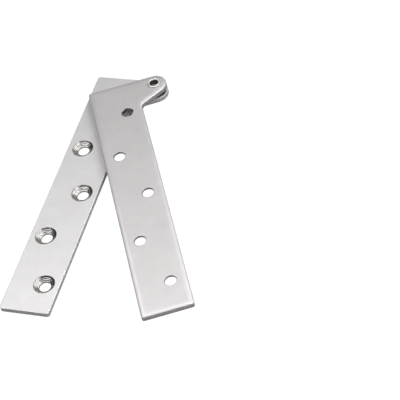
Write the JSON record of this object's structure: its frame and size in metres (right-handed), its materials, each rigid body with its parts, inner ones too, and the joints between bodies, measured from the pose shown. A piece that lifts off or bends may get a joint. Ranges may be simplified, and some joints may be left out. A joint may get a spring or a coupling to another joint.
{
  "type": "door hinge",
  "caption": "Offset pivot hinge: two flat stainless leaves stacked face to face, turning a full circle on a tubular rivet through their ears.",
  "frame": {"origin": "on the pivot axis, at the outer face of the lower leaf, which is also the flat face of the rivet's flush head", "axes": "+Z along the pivot axis, from the lower leaf to the upper leaf; the lower leaf lies along -Y from the pivot, with its body on the -X side of the axis"},
  "size_m": [0.0936, 0.15, 0.0089],
  "materials": {
    "leaf_steel": "satin, fine lengthwise brushing, rolled edges",
    "rivet_steel": "smooth, bright where it is rolled over",
    "washer_steel": "plain turned washer, slightly dull"
  },
  "bodies": {
    "fixed_leaf": {"lower_leaf": "leaf_steel", "pivot_rivet": "rivet_steel", "spacer_washer": "washer_steel"},
    "swing_leaf": {"upper_leaf": "leaf_steel"}
  },
  "joints": [
    {"name": "leaf_pivot", "type": "hinge", "parent": "fixed_leaf", "child": "swing_leaf", "pos_m": [0, 0, 0.005], "axis": [0, 0, 1], "continuous": true}
  ]
}
